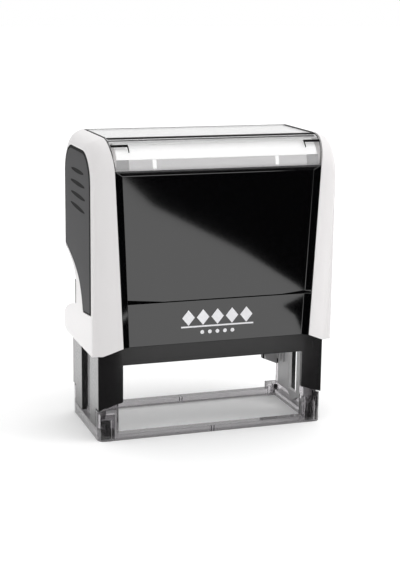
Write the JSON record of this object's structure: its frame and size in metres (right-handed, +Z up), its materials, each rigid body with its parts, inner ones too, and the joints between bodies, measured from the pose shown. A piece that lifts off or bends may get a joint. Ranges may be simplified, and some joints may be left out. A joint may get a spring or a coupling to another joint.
{
  "type": "self-inking stamp",
  "caption": "Self-inking stamp: sprung white and black cap with soft side grips over a black frame on a clear foot, with a turning text plate and a pull-out ink cassette.",
  "frame": {"origin": "middle of the footprint, on the surface the stamp stands on", "axes": "+Z up, along the stroke; +X to the right seen from the front, along the die's axle; the front panel faces -Y"},
  "size_m": [0.07, 0.0376, 0.0831],
  "materials": {
    "white_plastic": "satin white moulded plastic, slightly warm",
    "soft_touch": "matt dark grey soft-touch rubber",
    "gloss_black": "mirror-gloss black plastic",
    "frame_black": "satin black moulded plastic",
    "liner_grey": "light grey sliding plastic",
    "smoky_clear": "clear, slightly smoky moulded plastic",
    "clear_window": "clear polished plastic",
    "card": "white uncoated card",
    "die_grey": "mid grey moulded plastic",
    "foam": "dark foam cushion",
    "rubber": "red-brown stamp rubber",
    "ink_felt": "ink-soaked felt, blue-black",
    "silver_foil": "printed silver",
    "spring_steel": "drawn spring wire"
  },
  "bodies": {
    "base": {"frame": "frame_black", "clear_foot": "smoky_clear", "foot_peg_front_left": "frame_black", "foot_peg_front_right": "frame_black", "foot_peg_rear_left": "frame_black", "foot_peg_rear_right": "frame_black", "guide_plate_left": "liner_grey", "guide_plate_right": "liner_grey", "pad_cradle": "frame_black", "spring_post": "frame_black", "return_spring": "spring_steel"},
    "cap": {"cap_shell": "white_plastic", "front_panel": "gloss_black", "panel_badge": "silver_foil", "rear_panel": "gloss_black", "index_card": "card", "left_grip": "soft_touch", "right_grip": "soft_touch", "spring_cup": "white_plastic"},
    "window_cover": {"index_window": "clear_window"},
    "die": {"die_carrier": "die_grey", "die_cushion": "foam", "text_plate": "rubber", "cam_disc_left": "die_grey", "cam_disc_right": "die_grey", "axle_pin_left": "die_grey", "axle_pin_right": "die_grey"},
    "cassette": {"ink_tray": "frame_black", "ink_pad": "ink_felt", "cassette_handle": "frame_black"},
    "left_button": {"lock_button_left": "white_plastic"},
    "right_button": {"lock_button_right": "white_plastic"}
  },
  "joints": [
    {"name": "cap_press", "type": "slide", "parent": "base", "child": "cap", "axis": [0, 0, -1], "range_m": [0, 0.0215], "stiffness_N_per_m": 400, "springref_m": -0.008, "deforming": ["return_spring"]},
    {"name": "die_turn", "type": "hinge", "parent": "cap", "child": "die", "pos_m": [0, 0, 0.03], "axis": [1, 0, 0], "range_deg": [0, 180]},
    {"name": "cassette_slide", "type": "slide", "parent": "base", "child": "cassette", "axis": [0, 1, 0], "range_m": [0, 0.03]},
    {"name": "window_lift", "type": "slide", "parent": "cap", "child": "window_cover", "axis": [0, 0, 1], "range_m": [0, 0.02]},
    {"name": "left_button_push", "type": "slide", "parent": "base", "child": "left_button", "axis": [1, 0, 0], "range_m": [0, 0.0015], "stiffness_N_per_m": 500, "springref_m": -0.001},
    {"name": "right_button_push", "type": "slide", "parent": "base", "child": "right_button", "axis": [-1, 0, 0], "range_m": [0, 0.0015], "stiffness_N_per_m": 500, "springref_m": -0.001}
  ],
  "couplings": [
    {"joint": "die_turn", "follows": "cap_press", "rad_per_m": 146.1}
  ]
}
